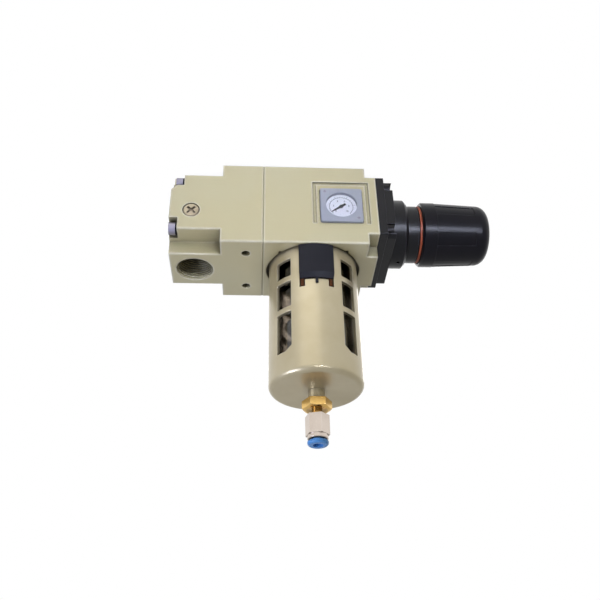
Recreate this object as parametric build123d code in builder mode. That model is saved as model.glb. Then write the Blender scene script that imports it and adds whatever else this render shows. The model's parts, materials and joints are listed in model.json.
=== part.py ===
from build123d import *
import math
import os

# Filter regulator that hangs on its pipes. Millimetres, +Z up.
# The origin is the centre of the mouth of the lower pipe port, in the underside.
# X runs along the unit from the port block to the knob, and the gauge faces -Y.

# Port block and body
section_width = 64.0
section_height = 65.0
edge_radius = 1.0
rebate_edge_radius = 0.8
seam_chamfer = 0.4
overcut = 1.0
port_to_end = 16.0
block_length = 61.5
body_length = 76.0
pad_width = 35.0
block_rebate_depth = 9.7
body_rebate_depth = 8.2
block_rebate_length = 33.8
body_rebate_length = 7.2

# Pipe ports, 3/4 inch
port_diameter = 24.5
port_depth = 24.0
gallery_diameter = 12.0
inlet_gallery_diameter = 8.0
outlet_gallery_drop = 20.0
inlet_gallery_drop = 17.0

# Mounting holes, two that run right through the block
mounting_hole_diameter = 5.5
mounting_hole_spacing = 38.0
mounting_hole_from_port = 34.3

# Long screws through the block into the body
block_screw_diameter = 5.0
block_screw_inset_y = 5.6
block_screw_inset_z = 13.5
block_screw_engagement = 11.0
screw_head_diameter = 8.5
screw_head_height = 4.4
screw_socket_across = 4.0
screw_socket_depth = 2.4
screw_clearance = 0.25
pocket_depth = 5.7
upper_pocket_extra = 2.6
pocket_slope_run = 4.0
pocket_slope_drop = 4.0
pocket_clearance = 0.9
washer_thickness = 1.2
washer_gap_width = 1.0

# Seal rings
seal_thickness = 1.8
seal_land = 1.6

# Plug in the front of the block
plug_offset_x = -1.9
plug_below_centre = 7.3
plug_head_diameter = 10.7
plug_head_height = 2.2
plug_thread_diameter = 8.0
plug_thread_length = 6.0
plug_cross_length = 7.2
plug_cross_width = 1.7
plug_cross_depth = 1.6

# Bowl mouth in the underside of the body
bowl_from_port = 79.4
recess_wall = 1.4
recess_depth = 6.0
bowl_bore_below_axis = 12.5
index_notch_angle = 47.5
index_notch_diameter = 3.0
lug_pocket_diameter = 44.0
lug_pocket_offset = 9.6

# Bowl
bowl_to_guard = 4.75
bowl_to_bore = 0.5
bowl_wall = 2.2
bowl_neck_height = 10.5
bowl_neck_clearance = 0.3
bowl_flange_width = 2.3
bowl_flange_thickness = 3.0
bowl_wall_bottom = -67.5
bowl_bottom = -83.5
bowl_foot_diameter = 20.0

# Guard round the bowl
guard_to_recess = 1.1
guard_wall = 2.0
guard_bottom = -90.0
guard_floor = 2.5
guard_edge_radius = 3.5
guard_boss_diameter = 10.4
guard_boss_height = 6.6
window_column_angle = 44.6
window_width = 11.7
window_rows = [(-7.4, -20.6), (-24.3, -43.1), (-46.8, -74.1)]
window_corner_run = 4.5
window_corner_rise = 3.2
window_radius = 0.8

# Lock button on the guard, with two return springs
button_half_angle = 20.6
button_thickness = 2.0
button_gap = 0.35
button_top_gap = 0.4
button_cheek_inset = 1.5
button_height = 25.1
button_lip = 3.7
button_key_top = 3.0
button_key_gap = 0.6
button_travel = 4.0
button_tab_width = 1.8
button_tab_length = 4.0
tongue_half_angle = 14.7
tongue_top = -26.1
opening_top = 4.0
slot_bottom = -31.2
slot_gap_angle = 0.9
lock_spring_diameter = 2.6
lock_spring_wire = 0.5
lock_spring_turns = 5

# Filter insert
swirl_diameter = 40.0
swirl_top_gap = 0.5
swirl_height = 7.5
swirl_hub_diameter = 20.0
swirl_vanes = 12
vane_thickness = 1.4
vane_slant = 35.0
element_diameter = 30.0
element_bore = 18.0
element_top = 10.0
element_bottom = -39.5
element_ribs = 20
element_rib_size = 2.0
tube_diameter = 14.0
tube_bore = 9.0
tube_cap = 4.0
tube_entry = 2.0
tube_hole_diameter = 6.0
tube_hole_heights = (-30.0, -18.0, -6.0)
baffle_diameter = 38.0
baffle_thickness = 1.6
baffle_drop = 6.0
baffle_screw_diameter = 5.0

# Automatic drain
drain_tube_diameter = 8.4
drain_bore = 3.0
drain_flange_diameter = 18.0
drain_flange_thickness = 2.6
drain_tube_top = -56.5
drain_cap_diameter = 14.0
drain_cap_thickness = 1.6
float_diameter = 32.0
float_height = 12.0
float_top_gap = 2.0
float_gap = 0.5
float_travel = 6.0

# Drain outlet: brass hexagon, plated push-in fitting and release ring
nut_across_flats = 16.0
nut_height = 6.0
nut_neck_diameter = 6.4
nut_neck_length = 3.6
fitting_across_flats = 13.0
fitting_hex_turn = 45.0
fitting_diameter = 12.6
fitting_length = 15.1
fitting_hex_length = 12.5
fitting_bore = 8.4
fitting_bore_depth = 13.0
tube_socket_diameter = 6.1
ring_diameter = 12.8
ring_thickness = 2.2
ring_edge_radius = 1.5
ring_gap = 1.3
ring_travel = 1.0
ring_sleeve_length = 6.0
ring_sleeve_gap = 0.35
grip_thickness = 2.0
grip_teeth = 8
grip_notch = 0.5

# Valve train on the axis of the knob
valve_bore_diameter = 20.0
valve_bore_end = 108.0
chamber_diameter = 34.0
passage_diameter = 14.0
seat_start = 101.3
seat_length = 4.7
seat_orifice = 10.0
poppet_diameter = 15.0
poppet_length = 5.0
poppet_gap = 0.3
poppet_tail_diameter = 6.0
poppet_tail_length = 8.0
valve_stem_diameter = 4.0
guide_start = 82.0
guide_length = 8.0
guide_holes = 6
guide_hole_diameter = 2.8
running_clearance = 0.08
valve_spring_diameter = 10.0
valve_spring_wire = 0.9
valve_spring_turns = 3

# Diaphragm and its plates
diaphragm_diameter = 44.0
diaphragm_thickness = 1.0
diaphragm_hole = 8.8
plate_diameter = 26.0
plate_thickness = 2.2
plate_gap = 0.3
spigot_diameter = 8.0
wet_plate_diameter = 20.0
wet_plate_thickness = 1.0
spigot_end_length = 1.0

# Bonnet
flange_thickness = 5.5
step_inset_y = 1.5
step_inset_z = 0.8
step_thickness = 6.0
step_radius = 5.0
collar_diameter = 48.0
collar_length = 11.0
collar_chamfer = 2.0
neck_diameter = 40.0
neck_length = 18.0
spring_chamber_diameter = 31.0
bonnet_end_wall = 4.0
keyway_width = 6.0
keyway_diameter = 35.0
keyway_run_out = 5.0
vent_diameter = 2.4
bonnet_screw_inset_y = 5.5
bonnet_screw_inset_z = 6.8
bonnet_screw_length = 14.0
screw_notch_diameter = 10.0
band_offset = 7.4
band_width = 2.7
band_depth = 1.0

# Adjusting screw, nut and spring
adjusting_pitch = 1.5
adjusting_turns = 6
screw_thread_diameter = 9.0
screw_tip_gap = 2.0
journal_diameter = 10.0
collar_stop_diameter = 18.0
collar_stop_thickness = 2.4
axial_gap = 0.3
hexagon_across = 13.0
hexagon_gap = 0.1
screw_end_gap = 2.5
clip_diameter = 13.6
clip_thickness = 0.9
nut_body_diameter = 27.6
nut_thickness = 6.0
nut_key_width = 5.0
nut_key_diameter = 33.6
nut_rest_gap = 1.3
adjusting_spring_diameter = 22.0
adjusting_spring_wire = 2.6
adjusting_spring_turns = 5

# Knob
knob_start = 154.5
knob_length = 48.1
knob_mouth_diameter = 45.2
knob_end_diameter = 42.0
knob_collar_length = 9.5
knob_collar_step = 0.25
knob_end_radius = 8.0
knob_crown = 0.8
knob_neck_gap = 0.5
knob_cavity_end = 190.0
knob_hub_diameter = 19.0
knob_hub_start = 167.0
knob_travel = 3.5
grip_panels = 6
grip_panel_angle = 24.0
grip_panel_turn = 74.0
grip_panel_depth = 0.4
grip_panel_length = 27.0

# Gauge
gauge_from_port = 97.2
gauge_below_centre = 1.6
gauge_size = 28.0
gauge_proud = 1.7
gauge_pocket_depth = 9.0
gauge_pocket_gap = 0.3
gauge_corner = 1.2
gauge_edge = 0.4
gauge_opening = 20.8
gauge_cavity_depth = 6.7
gauge_stem_diameter = 10.0
gauge_stem_length = 6.0
dial_depth = 2.5
dial_thickness = 0.6
dial_hole = 2.4
lens_depth = 0.5
lens_thickness = 0.7
pointer_lift = 0.35
pointer_thickness = 0.4
pointer_length = 8.0
pointer_tail = 3.6
pointer_width = 0.9
pointer_tail_width = 1.5
pointer_tip_width = 0.4
pointer_shaft_depth = 2.0
pointer_hub_diameter = 2.6
pointer_shaft_diameter = 1.4
pointer_rest_angle = 215.0
gauge_screw_offset = (10.9, 11.1)
gauge_screw_diameter = 2.6
gauge_screw_recess = 0.5
gauge_screw_length = 2.5
gauge_slot_length = 2.1
gauge_slot_width = 0.45
frame_groove_offset = 18.9
frame_groove_width = 2.3
frame_groove_top = 20.6
frame_groove_bottom = 14.6
frame_groove_depth = 1.0

# Places that follow from the sizes
axis_z = section_height / 2
block_start = -port_to_end
seam = block_start + block_length
body_end = seam + body_length
rebate_width = (section_width - pad_width) / 2
reduced_height = section_height - 2 * block_rebate_depth
block_screw_spacing_y = section_width - 2 * block_screw_inset_y
block_screw_spacing_z = section_height - 2 * block_screw_inset_z
flange_height = section_height - 2 * body_rebate_depth
step_width = section_width - 2 * step_inset_y
step_height = flange_height - 2 * step_inset_z
bonnet_screw_spacing_y = section_width - 2 * bonnet_screw_inset_y
bonnet_screw_spacing_z = flange_height - 2 * bonnet_screw_inset_z
recess_diameter = section_width - 2 * recess_wall
recess_ceiling = recess_depth
bore_ceiling = axis_z - bowl_bore_below_axis
guard_radius = recess_diameter / 2 - guard_to_recess
bowl_diameter = 2 * (guard_radius - bowl_to_guard)
bowl_bore_diameter = bowl_diameter + 2 * bowl_to_bore
bowl_flange_diameter = bowl_diameter + 2 * bowl_flange_width
button_inner = guard_radius + button_gap
button_outer = button_inner + button_thickness
key_inner = guard_radius - guard_wall + button_gap
button_key_bottom = tongue_top + button_travel + button_key_gap
step_start = body_end + flange_thickness
collar_start = step_start + step_thickness
neck_start = collar_start + collar_length
neck_end = neck_start + neck_length
end_wall_start = neck_end - bonnet_end_wall
band_start = neck_start + band_offset
knob_end = knob_start + knob_length
screw_end = knob_cavity_end - knob_travel - screw_end_gap
adjusting_travel = adjusting_pitch * adjusting_turns
screw_rows = ((-1, 0.0), (1, upper_pocket_extra))
keyway_length = (axial_gap + collar_stop_thickness + nut_rest_gap + nut_thickness
                 + adjusting_travel + keyway_run_out)
gauge_z = axis_z - gauge_below_centre
gauge_face = -section_width / 2 - gauge_proud
boss_end = guard_bottom - guard_boss_height
nut_end = boss_end - nut_height
float_rest = drain_tube_top - float_top_gap - float_travel - float_height
fitting_top = nut_end - nut_neck_length
fitting_end = fitting_top - fitting_length
ring_top = fitting_end - ring_gap

knob_axis = Axis((0, 0, axis_z), (1, 0, 0))
bowl_axis = Axis((bowl_from_port, 0, 0), (0, 0, 1))
lengthwise = Plane(origin=(0, 0, axis_z), x_dir=(1, 0, 0), z_dir=(0, -1, 0))
upright = Plane(origin=(bowl_from_port, 0, 0), x_dir=(1, 0, 0), z_dir=(0, -1, 0))


def across(x):
    """Plane square to the knob axis at x, with its own x along Y and y along Z."""
    return Plane(origin=(x, 0, axis_z), x_dir=(0, 1, 0), z_dir=(1, 0, 0))


def level(z):
    """Plane square to the bowl axis at height z."""
    return Plane(origin=(bowl_from_port, 0, z))


def front(x, y, z):
    """Plane that faces the front at a point, with its own x along X and y along Z."""
    return Plane(origin=(x, y, z), x_dir=(1, 0, 0), z_dir=(0, -1, 0))


def radial(angle, radius=0.0):
    """Upright plane through the bowl axis, turned by angle from the front towards +X."""
    turn = math.radians(angle)
    out = Vector(math.sin(turn), -math.cos(turn), 0)
    return Plane(origin=Vector(bowl_from_port, 0, 0) + out * radius, x_dir=out,
                 z_dir=(-math.cos(turn), -math.sin(turn), 0))


def facing(angle, radius):
    """Upright plane at a radius from the bowl axis, looking outwards at angle."""
    turn = math.radians(angle)
    out = Vector(math.sin(turn), -math.cos(turn), 0)
    along = Vector(math.cos(turn), math.sin(turn), 0)
    return Plane(origin=Vector(bowl_from_port, 0, 0) + out * radius, x_dir=along, z_dir=out)


def outline(plane, points):
    """Closed face on a plane from straight runs between points."""
    with BuildSketch(plane) as face:
        with BuildLine():
            Polyline(*points, close=True)
        make_face()
    return face.sketch


def box_points(low, high):
    """Corners of the rectangle between two opposite corners."""
    return [low, (high[0], low[1]), high, (low[0], high[1])]


def rebate_corners(piece, start, end, height):
    """Outward corner edges along X of the rebated stretch from start to end."""
    return [edge for edge in piece.edges().filter_by(Axis.X)
            if start < edge.center().X < end
            and (abs(edge.center().Y) > pad_width / 2 + overcut
                 or abs(edge.center().Z - axis_z) > height / 2 + overcut)]


# Port block: both pipe ports, the galleries and the corner pockets for the long screws
with BuildPart() as port_block:
    with BuildSketch(across(block_start)):
        RectangleRounded(section_width, section_height, edge_radius)
    extrude(amount=block_length)
    chamfer(port_block.faces().sort_by(Axis.X)[-1].edges(), seam_chamfer)
    with BuildSketch(across(block_start)):
        with GridLocations(section_width, section_height, 2, 2):
            Rectangle(2 * rebate_width, 2 * block_rebate_depth)
    extrude(amount=block_rebate_length, mode=Mode.SUBTRACT)
    fillet(rebate_corners(port_block, block_start, block_start + block_rebate_length,
                          reduced_height), rebate_edge_radius)
    head_radius = screw_head_diameter / 2
    pocket_y = section_width / 2 - block_screw_spacing_y / 2 + head_radius + pocket_clearance
    pocket_z = reduced_height / 2 - block_screw_spacing_z / 2 + head_radius + pocket_clearance
    for row, extra in screw_rows:
        with BuildSketch(across(block_start)):
            with Locations((0, row * reduced_height / 2)):
                with GridLocations(section_width, 0, 2, 1):
                    Rectangle(2 * pocket_y, 2 * pocket_z)
        extrude(amount=pocket_depth + extra, mode=Mode.SUBTRACT)
    slope_top = reduced_height / 2 - pocket_z
    for side in (-1, 1):
        slope = outline(lengthwise.offset(side * (section_width / 2 - pocket_y)),
                        [(block_start, slope_top), (block_start, slope_top - pocket_slope_drop),
                         (block_start + pocket_slope_run, slope_top)])
        extrude(slope, amount=side * pocket_y, dir=(0, -1, 0), mode=Mode.SUBTRACT)
    for mouth, inward in ((0, 1), (section_height, -1)):
        with BuildSketch(Plane.XY.offset(mouth)):
            Circle(port_diameter / 2)
        extrude(amount=inward * port_depth, mode=Mode.SUBTRACT)
    with BuildSketch(Plane.XY):
        with Locations((mounting_hole_from_port, 0)):
            with GridLocations(0, mounting_hole_spacing, 1, 2):
                Circle(mounting_hole_diameter / 2)
    extrude(amount=section_height, mode=Mode.SUBTRACT)
    with BuildSketch(across(0)):
        with Locations((0, outlet_gallery_drop)):
            Circle(gallery_diameter / 2)
        with Locations((0, -inlet_gallery_drop)):
            Circle(inlet_gallery_diameter / 2)
    extrude(amount=seam, mode=Mode.SUBTRACT)
    with BuildSketch(across(seam)):
        with Locations((0, outlet_gallery_drop)):
            Circle(gallery_diameter / 2 + seal_land + seal_thickness)
            Circle(gallery_diameter / 2 + seal_land, mode=Mode.SUBTRACT)
        with Locations((0, -inlet_gallery_drop)):
            Circle(inlet_gallery_diameter / 2 + seal_land + seal_thickness)
            Circle(inlet_gallery_diameter / 2 + seal_land, mode=Mode.SUBTRACT)
    extrude(amount=-seal_thickness, mode=Mode.SUBTRACT)
    with BuildSketch(across(block_start)):
        with GridLocations(block_screw_spacing_y, block_screw_spacing_z, 2, 2):
            Circle(block_screw_diameter / 2 + screw_clearance)
    extrude(amount=block_length, mode=Mode.SUBTRACT)
    with BuildSketch(front(plug_offset_x, -section_width / 2, axis_z - plug_below_centre)):
        Circle(plug_head_diameter / 2 + screw_clearance)
    extrude(amount=-plug_head_height, mode=Mode.SUBTRACT)
    with BuildSketch(front(plug_offset_x, -section_width / 2, axis_z - plug_below_centre)):
        Circle(plug_thread_diameter / 2)
    extrude(amount=-plug_head_height - plug_thread_length, mode=Mode.SUBTRACT)

# Rings in the grooves of the block face, one round each gallery
with BuildPart() as gallery_seals:
    with BuildSketch(across(seam - seal_thickness)):
        with Locations((0, outlet_gallery_drop)):
            Circle(gallery_diameter / 2 + seal_land + seal_thickness)
            Circle(gallery_diameter / 2 + seal_land, mode=Mode.SUBTRACT)
        with Locations((0, -inlet_gallery_drop)):
            Circle(inlet_gallery_diameter / 2 + seal_land + seal_thickness)
            Circle(inlet_gallery_diameter / 2 + seal_land, mode=Mode.SUBTRACT)
    extrude(amount=seal_thickness)

# Four socket head screws that pull the block to the body, the upper ones seated deeper
with BuildPart() as block_screws:
    for row, extra in screw_rows:
        head_seat = block_start + pocket_depth + extra - washer_thickness
        places = [(side * block_screw_spacing_y / 2, row * block_screw_spacing_z / 2)
                  for side in (-1, 1)]
        with BuildSketch(across(head_seat)):
            with Locations(*places):
                Circle(block_screw_diameter / 2)
        extrude(amount=seam + block_screw_engagement - head_seat)
        with BuildSketch(across(head_seat)):
            with Locations(*places):
                Circle(screw_head_diameter / 2)
        extrude(amount=-screw_head_height)
        with BuildSketch(across(head_seat - screw_head_height)):
            with Locations(*places):
                RegularPolygon(screw_socket_across / 2, 6, major_radius=False)
        extrude(amount=screw_socket_depth, mode=Mode.SUBTRACT)

# Split spring washers under the heads
with BuildPart() as block_washers:
    for row, extra in screw_rows:
        with BuildSketch(across(block_start + pocket_depth + extra - washer_thickness)):
            with Locations((0, row * block_screw_spacing_z / 2)):
                with GridLocations(block_screw_spacing_y, 0, 2, 1):
                    Circle(screw_head_diameter / 2)
                    Circle(block_screw_diameter / 2 + screw_clearance, mode=Mode.SUBTRACT)
                    with Locations((screw_head_diameter / 2, 0)):
                        Rectangle(screw_head_diameter, washer_gap_width, mode=Mode.SUBTRACT)
        extrude(amount=washer_thickness)

# Plug with a cross recess
with BuildPart() as port_plug:
    plug_face = front(plug_offset_x, -section_width / 2, axis_z - plug_below_centre)
    with BuildSketch(plug_face):
        Circle(plug_head_diameter / 2)
    extrude(amount=-plug_head_height)
    chamfer(port_plug.faces().sort_by(Axis.Y)[0].edges(), plug_head_height / 3)
    with BuildSketch(plug_face.offset(-plug_head_height)):
        Circle(plug_thread_diameter / 2)
    extrude(amount=-plug_thread_length)
    with BuildSketch(plug_face):
        with Locations(Rotation(0, 0, 45)):
            Rectangle(plug_cross_length, plug_cross_width)
            Rectangle(plug_cross_width, plug_cross_length)
    extrude(amount=-plug_cross_depth, mode=Mode.SUBTRACT)

# Body: bowl mouth below, valve bore along the knob axis, gauge pocket in front
with BuildPart() as body:
    with BuildSketch(across(seam)):
        RectangleRounded(section_width, section_height, edge_radius)
    extrude(amount=body_length)
    chamfer(body.faces().sort_by(Axis.X)[0].edges(), seam_chamfer)
    with BuildSketch(across(body_end)):
        with GridLocations(section_width, section_height, 2, 2):
            Rectangle(2 * rebate_width, 2 * body_rebate_depth)
    extrude(amount=-body_rebate_length, mode=Mode.SUBTRACT)
    fillet(rebate_corners(body, body_end - body_rebate_length, body_end, flange_height),
           rebate_edge_radius)
    with BuildSketch(level(0)):
        Circle(recess_diameter / 2)
        with PolarLocations(recess_diameter / 2, 4, start_angle=90 - index_notch_angle,
                            angular_range=360):
            Circle(index_notch_diameter / 2)
        with Locations((-lug_pocket_offset, 0), (lug_pocket_offset, 0)):
            Circle(lug_pocket_diameter / 2)
    extrude(amount=recess_depth, mode=Mode.SUBTRACT)
    with BuildSketch(level(0)):
        Circle(bowl_bore_diameter / 2)
    extrude(amount=bore_ceiling, mode=Mode.SUBTRACT)
    with BuildSketch(level(bore_ceiling)):
        Circle(passage_diameter / 2)
    extrude(amount=axis_z - bore_ceiling, mode=Mode.SUBTRACT)
    with BuildSketch(across(bowl_from_port - passage_diameter / 2)):
        Circle(valve_bore_diameter / 2)
    extrude(amount=valve_bore_end - bowl_from_port + passage_diameter / 2, mode=Mode.SUBTRACT)
    with BuildSketch(across(valve_bore_end)):
        Circle(chamber_diameter / 2)
    extrude(amount=body_end - valve_bore_end, mode=Mode.SUBTRACT)
    with BuildSketch(across(body_end)):
        Circle(diaphragm_diameter / 2)
    extrude(amount=-diaphragm_thickness, mode=Mode.SUBTRACT)
    with BuildSketch(across(seam)):
        with Locations((0, outlet_gallery_drop)):
            Circle(gallery_diameter / 2)
    extrude(amount=valve_bore_end - seam + gallery_diameter / 2, mode=Mode.SUBTRACT)
    with BuildSketch(across(seam)):
        with Locations((0, -inlet_gallery_drop)):
            Circle(inlet_gallery_diameter / 2)
    extrude(amount=bowl_from_port - bowl_bore_diameter / 4 - seam, mode=Mode.SUBTRACT)
    with BuildSketch(across(seam)):
        with GridLocations(block_screw_spacing_y, block_screw_spacing_z, 2, 2):
            Circle(block_screw_diameter / 2)
    extrude(amount=block_screw_engagement, mode=Mode.SUBTRACT)
    with BuildSketch(across(body_end)):
        with GridLocations(bonnet_screw_spacing_y, bonnet_screw_spacing_z, 2, 2):
            Circle(block_screw_diameter / 2)
    extrude(amount=flange_thickness - bonnet_screw_length, mode=Mode.SUBTRACT)
    with BuildSketch(front(gauge_from_port, -section_width / 2, gauge_z)):
        RectangleRounded(gauge_size + 2 * gauge_pocket_gap, gauge_size + 2 * gauge_pocket_gap,
                         gauge_corner + gauge_pocket_gap)
    extrude(amount=-gauge_pocket_depth, mode=Mode.SUBTRACT)
    with BuildSketch(front(gauge_from_port, -section_width / 2 + gauge_pocket_depth, gauge_z)):
        Circle(gauge_stem_diameter / 2)
    extrude(amount=-gauge_stem_length, mode=Mode.SUBTRACT)
    with BuildSketch(front(gauge_from_port, -section_width / 2, gauge_z)):
        groove_middle = frame_groove_offset - frame_groove_width / 2
        groove_height = frame_groove_top + frame_groove_bottom
        groove_centre = (frame_groove_top - frame_groove_bottom) / 2
        with Locations((-groove_middle, groove_centre), (groove_middle, groove_centre)):
            Rectangle(frame_groove_width, groove_height)
        with Locations((0, frame_groove_top - frame_groove_width / 2)):
            Rectangle(2 * frame_groove_offset, frame_groove_width)
    extrude(amount=-frame_groove_depth, mode=Mode.SUBTRACT)

# Clear bowl: neck with a seal groove, flange that the guard carries, domed end
bowl_radius = bowl_diameter / 2
neck_radius = bowl_bore_diameter / 2 - bowl_neck_clearance
seal_bottom = recess_ceiling + bowl_neck_clearance
seal_top = seal_bottom + seal_thickness
foot_radius = bowl_foot_diameter / 2
with BuildPart() as bowl:
    with BuildSketch(upright):
        with BuildLine():
            Polyline((bowl_radius, bowl_wall_bottom), (bowl_radius, 0),
                     (bowl_radius, recess_ceiling - bowl_flange_thickness),
                     (bowl_flange_diameter / 2, recess_ceiling - bowl_flange_thickness),
                     (bowl_flange_diameter / 2, recess_ceiling),
                     (neck_radius - seal_thickness, recess_ceiling),
                     (neck_radius - seal_thickness, seal_top), (neck_radius, seal_top),
                     (neck_radius, bowl_neck_height),
                     (neck_radius - bowl_wall - seal_thickness, bowl_neck_height),
                     (bowl_radius - bowl_wall, 0), (bowl_radius - bowl_wall, bowl_wall_bottom))
            inner_foot = (foot_radius - bowl_wall / 2, bowl_bottom + bowl_wall)
            TangentArc((bowl_radius - bowl_wall, bowl_wall_bottom), inner_foot, tangent=(0, -1))
            Polyline(inner_foot, (drain_tube_diameter / 2, bowl_bottom + bowl_wall),
                     (drain_tube_diameter / 2, bowl_bottom), (foot_radius, bowl_bottom))
            TangentArc((bowl_radius, bowl_wall_bottom), (foot_radius, bowl_bottom), tangent=(0, -1))
        make_face()
    revolve(axis=bowl_axis)

# Seal ring in the groove of the bowl neck
with BuildPart() as bowl_seal:
    revolve(outline(upright, box_points((neck_radius - seal_thickness, recess_ceiling),
                                        (bowl_bore_diameter / 2, seal_top))), axis=bowl_axis)

# Guard: a drawn shell with four columns of windows and the opening for the lock button
guard_inner = guard_radius - guard_wall
slot_half_angle = button_half_angle + slot_gap_angle
with BuildPart() as bowl_guard:
    with BuildSketch(upright) as guard_profile:
        with BuildLine():
            Polyline((guard_inner, recess_ceiling - bowl_flange_thickness),
                     (guard_inner, recess_ceiling), (guard_radius, recess_ceiling),
                     (guard_radius, guard_bottom), (guard_boss_diameter / 2, guard_bottom),
                     (guard_boss_diameter / 2, boss_end), (drain_tube_diameter / 2, boss_end),
                     (drain_tube_diameter / 2, guard_bottom + guard_floor),
                     (guard_inner, guard_bottom + guard_floor), (guard_inner, 0),
                     (bowl_radius + button_gap, 0),
                     (bowl_radius + button_gap, recess_ceiling - bowl_flange_thickness),
                     close=True)
        make_face()
        outer_corner = guard_profile.vertices().group_by(Axis.X)[-1].sort_by(Axis.Y)[0]
        fillet(outer_corner, guard_edge_radius)
    revolve(axis=bowl_axis)
    for side, column in ((1, -window_column_angle), (-1, window_column_angle),
                         (-1, 180 - window_column_angle), (1, 180 + window_column_angle)):
        for row, (top, bottom) in enumerate(window_rows):
            with BuildSketch(facing(column, guard_radius + overcut)) as window:
                with Locations((0, (top + bottom) / 2)):
                    Rectangle(window_width, top - bottom)
                if row == len(window_rows) - 1:
                    corner = (side * window_width / 2, bottom)
                    with BuildLine():
                        Polyline(corner, (corner[0] - side * window_corner_run, bottom),
                                 (corner[0], bottom + window_corner_rise), close=True)
                    make_face(mode=Mode.SUBTRACT)
                fillet(window.vertices(), window_radius)
            extrude(amount=-guard_radius / 3, mode=Mode.SUBTRACT)
    revolve(outline(radial(-slot_half_angle),
                    box_points((guard_inner - overcut, tongue_top),
                               (guard_radius + overcut, opening_top))),
            axis=bowl_axis, revolution_arc=2 * slot_half_angle, mode=Mode.SUBTRACT)
    for start in (-slot_half_angle, tongue_half_angle):
        revolve(outline(radial(start), box_points((guard_inner - overcut, slot_bottom),
                                                  (guard_radius + overcut, tongue_top + overcut))),
                axis=bowl_axis, revolution_arc=slot_half_angle - tongue_half_angle,
                mode=Mode.SUBTRACT)

# Lock button: curved shell outside the guard with a key through its opening
button_bottom = -button_top_gap - button_height
with BuildPart() as lock_button:
    revolve(outline(radial(-button_half_angle),
                    [(button_inner, -button_top_gap), (button_outer, -button_top_gap),
                     (button_outer, button_bottom + button_lip),
                     (button_inner + button_thickness / 4, button_bottom),
                     (button_inner, button_bottom)]),
            axis=bowl_axis, revolution_arc=2 * button_half_angle)
    revolve(outline(radial(-tongue_half_angle + slot_gap_angle),
                    box_points((key_inner, button_key_bottom), (button_inner, button_key_top))),
            axis=bowl_axis, revolution_arc=2 * (tongue_half_angle - slot_gap_angle))
    for start in (-button_half_angle, tongue_half_angle + slot_gap_angle):
        revolve(outline(radial(start),
                        box_points((key_inner, button_bottom + button_cheek_inset),
                                   (button_inner, -button_top_gap - button_cheek_inset))),
                axis=bowl_axis,
                revolution_arc=button_half_angle - tongue_half_angle - slot_gap_angle)
    with BuildSketch(facing(0, button_inner)):
        with Locations((0, button_bottom - button_tab_length / 2 + overcut)):
            Rectangle(button_tab_width, button_tab_length + 2 * overcut)
    extrude(amount=button_thickness / 4)

# Return springs of the lock button, in the slots beside the tongue
spring_turn = (slot_half_angle + tongue_half_angle) / 2
spring_low = slot_bottom + lock_spring_wire
spring_high = button_bottom + button_cheek_inset - lock_spring_wire
with BuildPart() as lock_springs:
    for angle in (-spring_turn, spring_turn):
        foot = radial(angle, guard_radius - guard_wall / 2).origin + Vector(0, 0, spring_low)
        with BuildLine() as coil:
            Helix(pitch=(spring_high - spring_low) / lock_spring_turns,
                  height=spring_high - spring_low,
                  radius=(lock_spring_diameter - lock_spring_wire) / 2, center=foot)
        with BuildSketch(Plane(origin=coil.line @ 0, z_dir=coil.line % 0)):
            RegularPolygon(lock_spring_wire / 2, 6)
        sweep(path=coil.line, is_frenet=True)

# Swirl ring that spins the incoming air, with slanted vanes round a hub
swirl_top = bore_ceiling - swirl_top_gap
swirl_bottom = swirl_top - swirl_height
with BuildPart() as swirl_ring:
    revolve(outline(upright, box_points((tube_diameter / 2, swirl_bottom),
                                        (swirl_hub_diameter / 2, bore_ceiling))), axis=bowl_axis)
    revolve(outline(upright, box_points((tube_diameter / 2, swirl_bottom),
                                        (swirl_diameter / 2, swirl_bottom + vane_thickness))),
            axis=bowl_axis)
    with BuildSketch(level(swirl_bottom)):
        for step in range(swirl_vanes):
            with Locations(Rotation(0, 0, step * 360 / swirl_vanes)):
                with Locations(((swirl_hub_diameter + swirl_diameter) / 4, 0)):
                    with Locations(Rotation(0, 0, vane_slant)):
                        Rectangle((swirl_diameter - swirl_hub_diameter) / 2, vane_thickness)
    extrude(amount=swirl_height)

# Tube that carries the filter and leads the clean air up to the valve
tube_top = bore_ceiling + tube_entry
baffle_top = element_bottom
with BuildPart() as filter_tube:
    revolve(outline(upright, [(tube_bore / 2, tube_top), (tube_diameter / 2, tube_top),
                              (tube_diameter / 2, baffle_top),
                              (baffle_screw_diameter / 2, baffle_top),
                              (baffle_screw_diameter / 2, baffle_top + tube_cap),
                              (tube_bore / 2, baffle_top + tube_cap)]), axis=bowl_axis)
    with BuildSketch(upright.offset(-tube_diameter)):
        for height in tube_hole_heights:
            with Locations((0, height)):
                Circle(tube_hole_diameter / 2)
    extrude(amount=2 * tube_diameter, mode=Mode.SUBTRACT)

# Filter element with fine upright ribs
with BuildPart() as filter_element:
    with BuildSketch(level(element_bottom)):
        Circle((element_diameter - element_rib_size) / 2)
        with PolarLocations((element_diameter - element_rib_size) / 2, element_ribs):
            Rectangle(element_rib_size, element_rib_size)
        Circle(element_bore / 2, mode=Mode.SUBTRACT)
    extrude(amount=element_top - element_bottom)

# Umbrella baffle below the element and the screw that holds it
with BuildPart() as baffle:
    revolve(outline(upright, [(baffle_screw_diameter / 2, baffle_top),
                              (element_diameter / 2, baffle_top),
                              (baffle_diameter / 2, baffle_top - baffle_drop),
                              (baffle_diameter / 2 - baffle_thickness, baffle_top - baffle_drop),
                              (element_diameter / 2 - baffle_thickness, baffle_top - baffle_thickness),
                              (baffle_screw_diameter / 2, baffle_top - baffle_thickness)]),
            axis=bowl_axis)

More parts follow.
